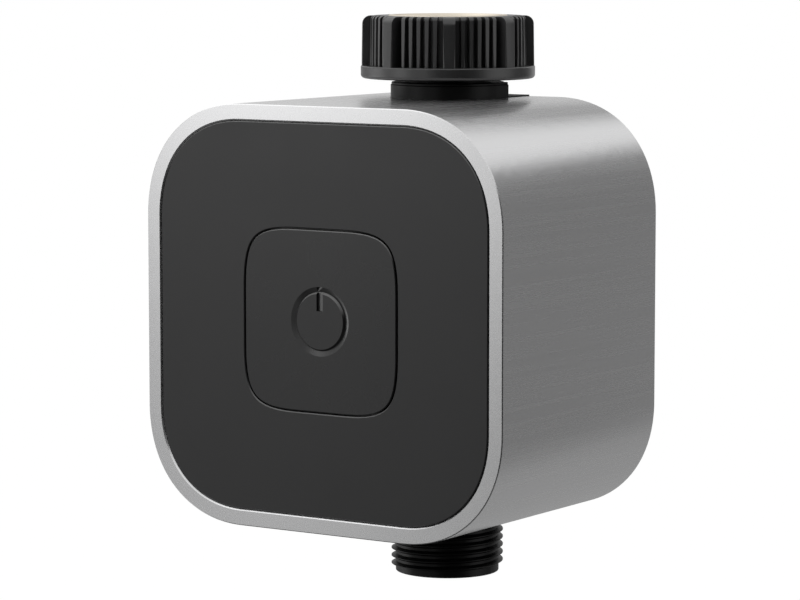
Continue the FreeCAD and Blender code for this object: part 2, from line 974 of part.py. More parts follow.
# The valve body: neck, spigot, valve chamber, waterways and the threaded outlet
def thread_groove(low, high):
    """The helical groove of a 55 degree pipe thread about the pipe axis."""
    slope = math.tan(math.radians(thread_half_angle))
    root_r = thread_major_r - thread_depth
    outer_r = thread_major_r + thread_over
    half = thread_root_half + (outer_r - root_r) * slope
    helix = Part.makeHelix(thread_pitch, high - low, root_r)
    section = Part.makePolygon(
        [
            V(root_r, 0, -thread_root_half),
            V(outer_r, 0, -half),
            V(outer_r, 0, half),
            V(root_r, 0, thread_root_half),
            V(root_r, 0, -thread_root_half),
        ]
    )
    groove = Part.Wire(helix).makePipeShell([section], True, True)
    groove.translate(V(0, axis_depth, low))
    return groove


def make_collar():
    """The neck above the sleeve: round at the front, with a small step, and with straight sides behind."""
    low = body_half - collar_root
    step_z = collar_top - collar_step_below_top
    side = [
        (collar_r, low, 0),
        (collar_r, step_z, 0),
        (collar_r - collar_step, step_z + collar_step, 0),
        (collar_r - collar_step, collar_top, collar_round),
    ]
    other_side = [(-r, z, rounding) for r, z, rounding in reversed(side)]
    section = Part.Face(rounded_wire(side + other_side, lambda r, z: V(r, axis_depth, z)))
    return turned_z([(0, low, 0)] + side + [(0, collar_top, 0)]).fuse(section.extrude(V(0, collar_back, 0)))


def make_valve_body():
    groove_low = nut_lip_top + ring_slack - ring_groove_gap
    groove_high = groove_low + ring_thickness + 2 * ring_groove_gap
    ring_groove = pillar(spigot_r + cut_over, groove_low, groove_high).cut(
        pillar(spigot_r - ring_root - ring_root_gap, nut_bottom, spigot_top)
    )
    outlet = turned_z(
        [
            (0, collar_root - body_half, 0),
            (thread_major_r, collar_root - body_half, 0),
            (thread_major_r, nose_top, 0),
            (nose_r, nose_top, 0),
            (nose_r, outlet_end, nose_break),
            (0, outlet_end, 0),
        ]
    )
    bosses = [
        rod(valve_screw_r + valve_boss_wall, valve_face, valve_face + valve_screw_length, x, z)
        for x, z in corners(valve_screw_place, valve_screw_place)
    ]
    plate_back = valve_face + valve_flange_depth
    solid = joined(
        [
            pillar(pipe_r, collar_root - body_half, body_half - collar_root),
            make_collar(),
            pillar(spigot_r, collar_top, spigot_top),
            outlet,
            rod(chamber_r, valve_face, valve_face + chamber_depth),
            plate(valve_flange_half, valve_flange_half, valve_flange_round, valve_face, plate_back),
        ]
        + bosses
    )
    annulus_back = valve_face + annulus_depth
    annulus = rod(annulus_r, valve_face, annulus_back).cut(
        rod(seat_r + seat_wall, valve_face + seat_drop, annulus_back)
    )
    feed = block(
        (-feed_half_width, feed_half_width),
        (valve_face + seat_drop, axis_depth),
        (inlet_floor, inlet_floor + feed_height),
    )
    cuts = [
        ring_groove,
        pillar(bore_r, inlet_floor, spigot_top),
        pillar(bore_r, outlet_end, outlet_roof),
        rod(seat_r, valve_face, axis_depth),
        annulus,
        feed,
        thread_groove(nose_top - thread_run_in, thread_run_out - body_half),
    ]
    depth = valve_screw_length - bonnet_flange_thickness - diaphragm_clamp + valve_screw_r + pilot_spare
    cuts += [
        rod(valve_screw_r + pilot_gap, valve_face, valve_face + depth, x, z)
        for x, z in corners(valve_screw_place, valve_screw_place)
    ]
    return solid.cut(cuts)


# The swivel nut on the spigot
def around(shape, angle):
    turned = shape.copy()
    turned.rotate(V(0, axis_depth, 0), V(0, 0, 1), angle)
    return turned


def grip_envelope(radius, top_round):
    return turned_z(
        [
            (insert_r, nut_lip_top - fin_sink, 0),
            (radius, nut_lip_top - fin_sink, 0),
            (radius - nut_taper, nut_top, top_round),
            (insert_r, nut_top, 0),
        ]
    )


def fin(radius, width, corner, top_round, angle):
    """A radial fin on the outside of the nut, with rounded long edges and rounded over at its top."""
    half = width / 2
    crown = math.sqrt(radius**2 - half**2)
    low = nut_lip_top - fin_sink
    outline = [(insert_r, -half, 0), (crown, -half, corner), (crown, half, corner), (insert_r, half, 0)]
    wire = rounded_wire(outline, lambda x, y: V(x, axis_depth + y, low))
    slab = Part.Face(wire).extrude(V(0, 0, nut_top - low))
    return around(slab.common(grip_envelope(radius, top_round)), angle)


def make_swivel_nut():
    wall = turned_z(
        [
            (spigot_r + nut_running_gap, nut_bottom, 0),
            (nut_rim_r, nut_bottom, nut_rim_round),
            (nut_rim_r, nut_lip_top, nut_lip_round),
            (nut_core_r, nut_lip_top, 0),
            (nut_core_r, nut_top, nut_core_round),
            (insert_top_r, nut_top, 0),
            (insert_top_r, nut_top - insert_step, 0),
            (insert_r, nut_top - insert_step, 0),
            (insert_r, nut_lip_top, 0),
            (spigot_r + nut_running_gap, nut_lip_top, 0),
        ]
    )
    fins = []
    step = 360 / nut_lugs
    for lug in range(nut_lugs):
        angle = nut_lug_turn - 90 + lug * step
        fins.append(fin(nut_r, nut_lug_width, nut_lug_corner, nut_top_round, angle))
        middle = angle + step / 2
        first = middle - nut_rib_step * (nut_ribs_per_pocket - 1) / 2
        for rib in range(nut_ribs_per_pocket):
            turn = first + rib * nut_rib_step
            fins.append(fin(nut_rib_r, nut_rib_width, nut_rib_corner, nut_rib_top_round, turn))
    return wall.multiFuse(fins)


def make_nut_insert():
    thread_low = washer_top - insert_thread_below
    return turned_z(
        [
            (insert_relief_r, nut_lip_top, 0),
            (insert_r, nut_lip_top, 0),
            (insert_r, nut_top - insert_step, 0),
            (insert_top_r, nut_top - insert_step, 0),
            (insert_top_r, insert_top, insert_round),
            (insert_bore_r + insert_break, insert_top, 0),
            (insert_bore_r, insert_top - insert_break, 0),
            (insert_bore_r, thread_low, 0),
            (insert_relief_r, thread_low, 0),
        ]
    )


def make_nut_ring():
    low = nut_lip_top + ring_slack
    ring = pillar(ring_r, low, low + ring_thickness).cut(
        pillar(spigot_r - ring_root, low, low + ring_thickness)
    )
    depth = (axis_depth, axis_depth + ring_r + cut_over)
    split = block((-ring_split / 2, ring_split / 2), depth, (low, low + ring_thickness))
    return ring.cut(split)


def make_inlet_washer():
    washer = pillar(washer_r, spigot_top, washer_top).cut(pillar(washer_hole_r, spigot_top, washer_top))
    return washer.cut(pillar(filter_flange_r + filter_gap, spigot_top, spigot_top + filter_sheet))


def make_inlet_filter():
    outer_r = bore_r - filter_gap
    inner_r = outer_r - filter_sheet
    low = spigot_top - filter_depth
    cup = joined(
        [
            pillar(filter_flange_r, spigot_top, spigot_top + filter_sheet),
            pillar(outer_r, low, spigot_top),
        ]
    ).cut(pillar(inner_r, low + filter_sheet, spigot_top + filter_sheet))
    holes = []
    row_step = filter_hole_step * math.sqrt(0.75)
    rows = int(inner_r / row_step)
    columns = int(inner_r / filter_hole_step) + 1
    for row in range(-rows, rows + 1):
        y = row * row_step
        shift = filter_hole_step / 2 if row % 2 else 0
        for column in range(-columns, columns + 1):
            x = column * filter_hole_step + shift
            if math.hypot(x, y) < inner_r - filter_hole_r - filter_hole_margin:
                holes.append(pillar(filter_hole_r, low, low + filter_sheet, x, axis_depth + y))
    return cup.cut(holes)


# The diaphragm, its disc and spring, and the bonnet
def make_diaphragm():
    web_back = valve_face - diaphragm_draw
    shoulder_r = bonnet_cavity_r + diaphragm_shoulder
    return turned_y(
        [
            (0, disc_back, 0),
            (shoulder_r, disc_back, 0),
            (shoulder_r, bonnet_seat, 0),
            (diaphragm_rim_r, bonnet_seat, 0),
            (diaphragm_rim_r, valve_face, 0),
            (annulus_r, valve_face, 0),
            (annulus_r, web_back, 0),
            (diaphragm_hub_r, web_back, 0),
            (diaphragm_hub_r - diaphragm_hub_taper, valve_face + seat_drop, 0),
            (0, valve_face + seat_drop, 0),
        ]
    )


def make_diaphragm_disc():
    return turned_y(
        [
            (0, disc_tip, 0),
            (disc_boss_r, disc_tip, disc_boss_round),
            (disc_boss_r, disc_front, 0),
            (disc_r, disc_front, disc_round),
            (disc_r, disc_back, 0),
            (0, disc_back, 0),
        ]
    )


def make_diaphragm_spring():
    seat = V(0, cavity_front, 0)
    room = disc_front - cavity_front
    return coil(valve_spring_r, valve_spring_wire, valve_spring_turns, seat, room, V(0, 1, 0))


def make_bonnet():
    solid = joined(
        [
            plate(valve_flange_half, valve_flange_half, valve_flange_round, bonnet_shoulder, bonnet_seat),
            rod(bonnet_dome_r, bonnet_front, bonnet_shoulder),
        ]
    )
    ring = Part.makeTorus(o_ring_r, o_ring_wire_r, V(0, tube_seat + o_ring_wire_r, 0), V(0, 1, 0))
    groove = rod(o_ring_r + o_ring_wire_r, tube_seat, tube_seat + 2 * o_ring_wire_r).cut(
        rod(o_ring_r - o_ring_wire_r, tube_seat, tube_seat + 2 * o_ring_wire_r)
    )
    inner_r = tube_r - tube_wall
    cuts = [
        rod(bonnet_cavity_r, cavity_front, bonnet_seat),
        rod(tube_flange_r + tube_flange_gap, bonnet_front, tube_seat),
        groove,
        rod(inner_r, tube_seat, pilot_floor).cut(rod(pilot_nozzle_r, nozzle_tip, pilot_floor)),
        rod(pilot_hole_r, nozzle_tip, cavity_front),
    ]
    cuts += [
        rod(valve_screw_r + pass_gap, bonnet_shoulder, bonnet_seat, x, z)
        for x, z in corners(valve_screw_place, valve_screw_place)
    ]
    return solid.cut(cuts), ring


def make_bonnet_screws():
    return Part.makeCompound(
        [
            screw(valve_screw_r, valve_screw_length, bonnet_shoulder, x, z, 1)
            for x, z in corners(valve_screw_place, valve_screw_place)
        ]
    )


# The latching solenoid
def make_core_tube():
    return turned_y(
        [
            (0, tube_front, 0),
            (tube_r, tube_front, tube_round),
            (tube_r, bonnet_front, 0),
            (tube_flange_r, bonnet_front, 0),
            (tube_flange_r, tube_seat, 0),
            (tube_r - tube_wall, tube_seat, 0),
            (tube_r - tube_wall, tube_front + tube_wall, 0),
            (0, tube_front + tube_wall, 0),
        ]
    )


def make_fixed_core():
    return rod(tube_r - tube_wall, tube_front + tube_wall, stub_back)


def make_armature():
    radius = tube_r - tube_wall - armature_gap
    solid = rod(radius, armature_front, armature_back)
    pocket = rod(armature_pocket_r, armature_front, armature_front + armature_pocket_depth)
    seal_seat = rod(armature_seal_r, armature_back - armature_seal_depth, armature_back)
    return solid.cut([pocket, seal_seat])


def make_armature_seal():
    return rod(armature_seal_r, armature_back - armature_seal_depth, nozzle_tip)


def make_armature_spring():
    seat = V(0, stub_back, 0)
    room = armature_front + armature_pocket_depth - stub_back
    return coil(armature_spring_r, armature_spring_wire, armature_spring_turns, seat, room, V(0, 1, 0))


def make_bobbin():
    inner_r = tube_r + bobbin_gap
    solid = joined(
        [
            rod(inner_r + bobbin_wall, bobbin_front, bobbin_back),
            rod(bobbin_flange_r, bobbin_front, bobbin_front + bobbin_flange),
            rod(bobbin_flange_r, bobbin_back - bobbin_flange, bobbin_back),
        ]
    )
    return solid.cut(rod(inner_r, bobbin_front, bobbin_back))


def make_winding():
    inner_r = tube_r + bobbin_gap + bobbin_wall
    front = bobbin_front + bobbin_flange
    back = bobbin_back - bobbin_flange
    return rod(winding_r, front, back).cut(rod(inner_r, front, back))


def make_yoke():
    side = bobbin_flange_r + yoke_gap
    outer_side = side + yoke_sheet
    reach = yoke_half_height + cut_over
    height = (-yoke_half_height, yoke_half_height)
    outer = block((-outer_side, outer_side), (yoke_front, bonnet_front), height)
    inner = block((-side, side), (bobbin_front, bobbin_back), (-reach, reach))
    return outer.cut([inner, rod(tube_r + bobbin_gap, yoke_front, bonnet_front)])


def make_magnet():
    return rod(magnet_r, yoke_front - magnet_thickness, yoke_front)


# The circuit board and what it carries
def make_board():
    board = plate(board_half_width, board_half_height, board_corner, board_front, board_back)
    holes = [
        rod(board_screw_r + pass_gap, board_front, board_back, x, z)
        for x, z in corners(board_boss_x, board_boss_z)
    ]
    return board.cut(holes)


def make_board_screws():
    return Part.makeCompound(
        [
            screw(board_screw_r, board_screw_length - board_screw_r, board_back, x, z, -1)
            for x, z in corners(board_boss_x, board_boss_z)
        ]
    )


def make_switch():
    half = switch_size / 2
    body = block((-half, half), (switch_front, board_front), (-half, half))
    well = rod(stem_r + stem_gap, switch_front, switch_front + stem_depth + button_travel + stem_margin)
    return body.cut(well)


def make_switch_stem():
    return rod(stem_r, stem_front, switch_front + stem_depth)


def make_radio():
    front = board_front - radio_board
    base = block(
        (-radio_width / 2, radio_width / 2),
        (front, board_front),
        (radio_z - radio_height / 2, radio_z + radio_height / 2),
    )
    half_x = radio_width / 2 - radio_can_side
    half_z = radio_height / 2 - radio_can_edge
    can = plate(half_x, half_z, radio_can_corner, front - radio_can, front, radio_can_x, radio_z)
    return base.fuse(can)


def make_capacitors():
    return Part.makeCompound(
        [
            rod(capacitor_r, board_back, board_back + capacitor_length, capacitor_x, side * capacitor_z)
            for side in (-1, 1)
        ]
    )


def make_chips():
    """Integrated circuits and an inductor, each its own solid on the front or the back of the board."""
    solids = [
        block((x - w / 2, x + w / 2), (board_front - t, board_front), (z - h / 2, z + h / 2))
        for x, z, w, h, t in front_chips
    ]
    solids += [
        block((x - w / 2, x + w / 2), (board_back, board_back + t), (z - h / 2, z + h / 2))
        for x, z, w, h, t in back_chips
    ]
    return Part.makeCompound(solids)


def make_connector(x, z):
    half_x = connector_width / 2
    half_z = connector_height / 2
    depth = (board_back, board_back + connector_depth)
    return block((x - half_x, x + half_x), depth, (z - half_z, z + half_z))


def make_coil_leads():
    leads = []
    flange_y = bobbin_front + bobbin_flange / 2
    entry_y = board_back + connector_depth / 2
    entry_z = coil_connector_z - connector_height / 2
    start_z = bobbin_flange_r + lead_end_gap
    run = (entry_z - start_z) / 3
    for x in (-lead_spread, lead_spread):
        points = [
            V(x, flange_y, start_z),
            V(x, flange_y, start_z + run),
            V(x, entry_y, entry_z - run),
            V(x, entry_y, entry_z),
        ]
        leads.append(lead(points, lead_r))
    return Part.makeCompound(leads)


def make_battery_leads():
    """Wires from the contact tabs to the connector, and one from cell to cell, on routes chosen by hand."""
    z = bay_half_length - contact_sheet / 2
    entry = board_back + connector_depth
    right_x = battery_connector_x + lead_spread
    left_x = battery_connector_x - lead_spread
    bend_y = contact_tab_front - lead_short_run
    cross_y = axis_depth - pipe_r - lead_pipe_gap
    cross_z = valve_flange_half + lead_flange_gap
    low_y = entry + lead_entry_run
    right = [
        V(cell_x, contact_tab_front, -z),
        V(cell_x, contact_tab_front - lead_long_run, -z),
        V(right_x, low_y, battery_connector_z),
        V(right_x, entry, battery_connector_z),
    ]
    left = [
        V(-cell_x, contact_tab_front, -z),
        V(-cell_x, bend_y, -z),
        V(-lead_far_x, cross_y, -cross_z),
        V(lead_low_x, low_y, -valve_flange_half - lead_low_gap),
        V(left_x, entry + lead_entry_short_run, battery_connector_z),
        V(left_x, entry, battery_connector_z),
    ]
    bridge = [
        V(-cell_x, contact_tab_front, z),
        V(-cell_x, bend_y, z),
        V(-lead_bow_x, cross_y, cross_z),
        V(lead_bow_x, cross_y, cross_z),
        V(cell_x, bend_y, z),
        V(cell_x, contact_tab_front, z),
    ]
    return Part.makeCompound([lead(route, lead_r) for route in (right, left, bridge)])


def main():
    os.makedirs("parts", exist_ok=True)
    save("sleeve", make_sleeve())
    save("front_panel", make_front_panel())
    save("panel_gasket", make_panel_gasket())
    save("button", make_button())
    save("button_mat", make_button_mat())
    save("inner_core", make_core())
    save("core_screws", make_core_screws())
    save("rear_frame", make_rear_frame())
    save("rear_cover", make_rear_cover())
    save("rear_cover_gasket", make_cover_gasket())
    save("rear_cover_screws", make_cover_screws())
    save("cell_left", make_cell(-cell_x, 1))
    save("cell_right", make_cell(cell_x, -1))
    save("contact_springs", make_contact_springs())
    save("contact_plates", make_contact_plates())
    save("valve_body", make_valve_body())
    save("swivel_nut", make_swivel_nut())
    save("nut_insert", make_nut_insert())
    save("nut_retaining_ring", make_nut_ring())
    save("inlet_washer", make_inlet_washer())
    save("inlet_filter", make_inlet_filter())
    save("diaphragm", make_diaphragm())
    save("diaphragm_disc", make_diaphragm_disc())
    save("diaphragm_spring", make_diaphragm_spring())
    bonnet, o_ring = make_bonnet()
    save("valve_bonnet", bonnet)
    save("bonnet_o_ring", o_ring)
    save("bonnet_screws", make_bonnet_screws())
    save("core_tube", make_core_tube())
    save("fixed_core", make_fixed_core())
    save("armature", make_armature())
    save("armature_seal", make_armature_seal())
    save("armature_spring", make_armature_spring())
    save("coil_bobbin", make_bobbin())
    save("coil_winding", make_winding())
    save("solenoid_yoke", make_yoke())
    save("latching_magnet", make_magnet())
    save("circuit_board", make_board())
    save("board_screws", make_board_screws())
    save("button_switch", make_switch())
    save("switch_stem", make_switch_stem())
    save("radio_module", make_radio())
    save("storage_capacitors", make_capacitors())
    save("board_chips", make_chips())
    save("coil_connector", make_connector(0, coil_connector_z))
    save("battery_connector", make_connector(battery_connector_x, battery_connector_z))
    save("coil_leads", make_coil_leads())
    save("battery_leads", make_battery_leads())


main()
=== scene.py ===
import math
from collections import namedtuple

import bpy
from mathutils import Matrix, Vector


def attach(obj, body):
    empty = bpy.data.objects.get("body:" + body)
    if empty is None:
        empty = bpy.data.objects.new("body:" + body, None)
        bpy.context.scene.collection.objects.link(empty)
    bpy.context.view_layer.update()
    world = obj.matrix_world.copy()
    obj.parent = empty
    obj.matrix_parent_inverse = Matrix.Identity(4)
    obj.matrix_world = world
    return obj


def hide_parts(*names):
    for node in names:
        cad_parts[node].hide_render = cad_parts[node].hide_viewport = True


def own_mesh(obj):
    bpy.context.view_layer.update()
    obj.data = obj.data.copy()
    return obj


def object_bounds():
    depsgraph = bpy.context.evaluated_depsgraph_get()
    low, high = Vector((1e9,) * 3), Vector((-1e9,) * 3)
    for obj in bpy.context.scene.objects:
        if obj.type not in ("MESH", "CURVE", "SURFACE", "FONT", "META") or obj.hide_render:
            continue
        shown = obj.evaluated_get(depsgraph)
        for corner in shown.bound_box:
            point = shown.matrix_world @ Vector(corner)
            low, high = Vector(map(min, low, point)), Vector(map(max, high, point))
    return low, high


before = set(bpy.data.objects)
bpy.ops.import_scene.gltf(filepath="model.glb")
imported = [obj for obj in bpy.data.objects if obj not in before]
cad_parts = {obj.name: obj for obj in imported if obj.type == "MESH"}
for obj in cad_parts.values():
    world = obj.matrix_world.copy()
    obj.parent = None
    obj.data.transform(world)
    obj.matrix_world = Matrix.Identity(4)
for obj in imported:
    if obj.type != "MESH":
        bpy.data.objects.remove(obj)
frame_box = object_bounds()

# The finishes, studio and camera of a smart irrigation controller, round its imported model. Everything is in
# metres, in the frame of the part: its origin is on the pipe axis at the inlet washer, with X to the right,
# Y to the rear and Z up.
low, high = frame_box
middle = (low + high) / 2

# Camera, at the place and angle that the photograph was taken from. Its angles are in radians, and its lens
# and sensor in millimetres.
camera_place = Vector((0.43575, -0.6795, 0.02699))
camera_tilt = 0.1069
camera_turn = 0.5841
camera_lens = 155.11
sensor_width = 36.0

# Floor, below the part: its grey, and the glow that takes its place for the rays that see the background
floor_drop = 0.5
floor_size = 40.0
floor_white = 0.85
floor_roughness = 0.9
floor_glow = 1.08
floor_glow_share = 0.86

# Sky: how strongly it lights the part, where 1 is the white that the camera sees
sky_fill = 0.6

# Lamps: their places from the middle of the part, and their sizes and watts
key_lamp_place = Vector((-0.35, -0.75, 0.65))
key_lamp_size = (0.6, 0.4)
key_lamp_power = 9
top_lamp_place = Vector((0.1, 0.45, 0.75))
top_lamp_size = (0.7, 0.3)
top_lamp_power = 5

# Shades of a card, as (place, value) stops from one side to the other or from the bottom to the top. The
# front of the part mirrors the front card, which is bright above and darker below and to both sides.
LEVEL = [(0, 1), (1, 1)]
FRONT_ACROSS = [(0, 0.15), (0.36, 0.44), (0.44, 0.76), (0.49, 1), (0.56, 0.78), (0.68, 0.34), (1, 0.06)]
FRONT_UPWARD = [(0, 0.12), (0.3, 0.26), (0.5, 0.36), (0.57, 0.54), (0.64, 0.9), (1, 0.9)]
RIGHT_ACROSS = [(0, 0.5), (1, 1)]

# Colours, as linear values
ALUMINIUM = (0.66, 0.66, 0.665)
STEEL = (0.56, 0.56, 0.55)
NICKEL = (0.65, 0.64, 0.6)
TIN = (0.66, 0.66, 0.66)
PALE_BRASS = (0.70, 0.64, 0.54)
COPPER = (0.72, 0.33, 0.17)
PANEL_BLACK = (0.005, 0.005, 0.0052)
BUTTON_BLACK = (0.004, 0.004, 0.0042)
CORE_BLACK = (0.008, 0.008, 0.0083)
VALVE_BLACK = (0.0022, 0.0022, 0.0023)
NUT_BLACK = (0.0055, 0.0055, 0.0057)
CHIP_BLACK = (0.02, 0.02, 0.02)
CELL_GREY = (0.05, 0.055, 0.065)
CAPACITOR_BLUE = (0.02, 0.03, 0.09)
BOARD_GREEN = (0.012, 0.12, 0.05)
STEM_RED = (0.45, 0.04, 0.03)
NATURAL_PLASTIC = (0.6, 0.59, 0.55)
CONNECTOR_WHITE = (0.75, 0.72, 0.64)
RUBBER = (0.018, 0.018, 0.018)
SILICONE = (0.22, 0.22, 0.24)
LEAD_RED = (0.4, 0.02, 0.02)
# Painted highlight: the paler grey that the up-facing chamfers of the panel and button are mixed towards
CHAMFER_HIGHLIGHT = (0.08, 0.08, 0.08)

# Textures: spots per metre, how deep and how strong their bump is, and how far the shade changes
Texture = namedtuple("Texture", "grain depth strength change")
FINE_SPARK = Texture(grain=9000, depth=0.00002, strength=0.25, change=0.12)
COARSE_SPARK = Texture(grain=5000, depth=0.00002, strength=0.35, change=0.12)
RUBBER_SKIN = Texture(grain=3000, depth=0.00003, strength=0.2, change=0.15)
METAL_GRAIN = Texture(grain=5000, depth=0.00001, strength=0.2, change=0.05)
BRUSHED_GRAIN = Texture(grain=6000, depth=0.000004, strength=0.05, change=0.02)

# How a grain is drawn out: not at all, into long brush marks along Y, or into shorter marks along Y
EVEN = (1, 1, 1)
BRUSHED_ALONG_Y = (1, 0.012, 1)
DRAWN_ALONG_Y = (1, 0.05, 1)

# The range in which most values of a noise lie
NOISE_LOW = 0.3
NOISE_HIGH = 0.7

# Sockets of a Mix node that mixes colours
MIX_SHARE = 0
MIX_FIRST = 6
MIX_SECOND = 7
MIX_RESULT = 2


# Shader nodes


def connect(tree, value, socket):
    """Link a node's output to a socket, or set the socket to a plain value."""
    if isinstance(value, bpy.types.NodeSocket):
        tree.links.new(value, socket)
    else:
        socket.default_value = value


def node(tree, kind, inputs=None, **settings):
    """A new node with its settings, and with inputs that are plain values or other nodes' outputs."""
    made = tree.nodes.new(kind)
    for name, value in settings.items():
        setattr(made, name, value)
    for name, value in (inputs or {}).items():
        connect(tree, value, made.inputs[name])
    return made


def math_node(tree, operation, first, second=0.0, **settings):
    return node(tree, "ShaderNodeMath", {0: first, 1: second}, operation=operation, **settings).outputs[0]


def ramp(tree, source, stops):
    """Grey values or colours along a source, from (place, value) stops."""
    made = node(tree, "ShaderNodeValToRGB", {"Fac": source})
    elements = made.color_ramp.elements
    halfway = 0.5
    while len(elements) < len(stops):
        elements.new(halfway)
    for element, (place, value) in zip(elements, stops):
        colour = value if isinstance(value, tuple) else (value, value, value)
        element.position = place
        element.color = (*colour, 1)
    return made.outputs["Color"]


def surface_coordinates(tree, stretch=EVEN):
    """Places on a piece, in metres. A grain is drawn out along an axis where the stretch is under one."""
    coordinates = node(tree, "ShaderNodeTexCoord").outputs["Object"]
    return node(tree, "ShaderNodeMapping", {"Vector": coordinates, "Scale": stretch}).outputs["Vector"]


def noise(tree, vector, scale, detail, roughness=0.55):
    inputs = {"Vector": vector, "Scale": scale, "Detail": detail, "Roughness": roughness}
    return node(tree, "ShaderNodeTexNoise", inputs).outputs["Fac"]


def tinted(tree, source, colour, change):
    """A colour that a noise makes a little darker and lighter."""
    darker = tuple(part * (1 - change) for part in colour)
    lighter = tuple(min(part * (1 + change), 1) for part in colour)
    return ramp(tree, source, [(NOISE_LOW, darker), (NOISE_HIGH, lighter)])


def varied(tree, source, value, change):
    """A value that a noise makes a little lower and higher."""
    inputs = {"Value": source, "From Min": NOISE_LOW, "From Max": NOISE_HIGH}
    inputs.update({"To Min": value - change, "To Max": value + change})
    return node(tree, "ShaderNodeMapRange", inputs).outputs["Result"]


def painted_chamfer_highlight(tree, colour):
    """A colour with a painted highlight: paler on chamfers that face up, as if they caught light from above.
    """
    normal = node(tree, "ShaderNodeNewGeometry").outputs["Normal"]
    parts = node(tree, "ShaderNodeSeparateXYZ", {0: normal}).outputs
    forward = math_node(tree, "ABSOLUTE", parts["Y"])
    chamfer = ramp(tree, forward, [(0.3, 0.0), (0.5, 1.0), (0.85, 1.0), (0.95, 0.0)])
    upward = ramp(tree, parts["Z"], [(0.2, 0.0), (0.6, 1.0)])
    share = math_node(tree, "MULTIPLY", chamfer, upward)
    inputs = {MIX_SHARE: share, MIX_FIRST: colour, MIX_SECOND: (*CHAMFER_HIGHLIGHT, 1)}
    return node(tree, "ShaderNodeMix", inputs, data_type="RGBA").outputs[MIX_RESULT]


# Materials


def new_material(name):
    """A material with its node tree and the tree's Principled shader."""
    material = bpy.data.materials.new(name)
    material.use_nodes = True
    tree = material.node_tree
    return material, tree, tree.nodes["Principled BSDF"]


def set_surface(tree, shader, colour, roughness, height, texture):
    """Give a shader its colour and roughness, and a bump with the depth and strength of a texture."""
    inputs = {"Height": height, "Distance": texture.depth, "Strength": texture.strength}
    bump = node(tree, "ShaderNodeBump", inputs).outputs["Normal"]
    connect(tree, colour, shader.inputs["Base Color"])
    connect(tree, roughness, shader.inputs["Roughness"])
    connect(tree, bump, shader.inputs["Normal"])


def moulded_plastic(name, colour, roughness, texture=FINE_SPARK, shine=0.5, highlit_chamfers=False):
    """Moulded plastic: a spark texture, with slow changes of shade and gloss."""
    material, tree, shader = new_material(name)
    shader.inputs["Specular IOR Level"].default_value = shine
    vector = surface_coordinates(tree)
    clouds = noise(tree, vector, scale=60, detail=3)
    shade = tinted(tree, clouds, colour, texture.change)
    # Painted highlight on the chamfers that face up
    if highlit_chamfers:
        shade = painted_chamfer_highlight(tree, shade)
    spark = noise(tree, vector, texture.grain, detail=2)
    set_surface(tree, shader, shade, varied(tree, clouds, roughness, change=0.04), spark, texture)
    return material


def rubber(name, colour, roughness=0.7):
    return moulded_plastic(name, colour, roughness, RUBBER_SKIN)


def metal(name, colour, roughness, stretch=EVEN):
    """Metal with a fine grain in its shade, gloss and bump."""
    material, tree, shader = new_material(name)
    shader.inputs["Metallic"].default_value = 1.0
    fine = noise(tree, surface_coordinates(tree, stretch), METAL_GRAIN.grain, detail=3)
    shade = tinted(tree, fine, colour, METAL_GRAIN.change)
    set_surface(tree, shader, shade, varied(tree, fine, roughness, change=0.05), fine, METAL_GRAIN)
    return material


def brushed_metal(name, colour, roughness):
    """Metal brushed along Y: long soft streaks in shade and gloss, and highlights drawn out across them."""
    material, tree, shader = new_material(name)
    shader.inputs["Metallic"].default_value = 1.0
    shader.inputs["Anisotropic"].default_value = 0.3
    tangent = node(tree, "ShaderNodeTangent", direction_type="RADIAL", axis="Y").outputs["Tangent"]
    connect(tree, tangent, shader.inputs["Tangent"])
    streaks = noise(tree, surface_coordinates(tree, BRUSHED_ALONG_Y), scale=900, detail=5, roughness=0.65)
    shade = tinted(tree, streaks, colour, BRUSHED_GRAIN.change)
    fine = noise(tree, surface_coordinates(tree), BRUSHED_GRAIN.grain, detail=2)
    gloss = varied(tree, streaks, roughness, change=0.015)
    set_surface(tree, shader, shade, gloss, fine, BRUSHED_GRAIN)
    return material


# The part


def paint(material, *names):
    for name in names:
        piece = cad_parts[name]
        piece.data.materials.clear()
        piece.data.materials.append(material)


def paint_plastics():
    # The panel and the button get a painted highlight on their up-facing chamfers
    panel = moulded_plastic("panel plastic", PANEL_BLACK, roughness=0.4, shine=0.57, highlit_chamfers=True)
    button = moulded_plastic("button plastic", BUTTON_BLACK, roughness=0.28, shine=0.55, highlit_chamfers=True)
    core = moulded_plastic("core plastic", CORE_BLACK, roughness=0.55, texture=COARSE_SPARK)
    cover = moulded_plastic("cover plastic", CORE_BLACK, roughness=0.5, texture=COARSE_SPARK)
    valve = moulded_plastic("valve plastic", VALVE_BLACK, roughness=0.38, shine=0.17)
    nut = moulded_plastic("nut plastic", NUT_BLACK, roughness=0.36, shine=0.85)
    natural = moulded_plastic("natural plastic", NATURAL_PLASTIC, roughness=0.45)
    connector = moulded_plastic("connector plastic", CONNECTOR_WHITE, roughness=0.45)
    paint(panel, "front_panel")
    paint(button, "button")
    paint(core, "inner_core", "rear_frame")
    paint(cover, "rear_cover")
    paint(valve, "valve_body", "valve_bonnet")
    paint(nut, "swivel_nut")
    paint(natural, "diaphragm_disc", "coil_bobbin")
    paint(connector, "coil_connector", "battery_connector")
    paint(moulded_plastic("board laminate", BOARD_GREEN, roughness=0.35), "circuit_board")
    paint(moulded_plastic("chip plastic", CHIP_BLACK, roughness=0.45), "button_switch", "board_chips")
    paint(moulded_plastic("stem plastic", STEM_RED, roughness=0.4), "switch_stem")
    paint(moulded_plastic("capacitor sleeve", CAPACITOR_BLUE, roughness=0.3), "storage_capacitors")
    paint(moulded_plastic("cell film", CELL_GREY, roughness=0.25), "cell_left", "cell_right")


def paint_rubbers():
    seal = rubber("seal rubber", RUBBER)
    paint(seal, "panel_gasket", "rear_cover_gasket", "inlet_washer", "bonnet_o_ring")
    paint(rubber("diaphragm rubber", RUBBER), "armature_seal", "diaphragm")
    paint(rubber("silicone", SILICONE), "button_mat")
    paint(rubber("lead insulation", LEAD_RED, roughness=0.5), "coil_leads", "battery_leads")


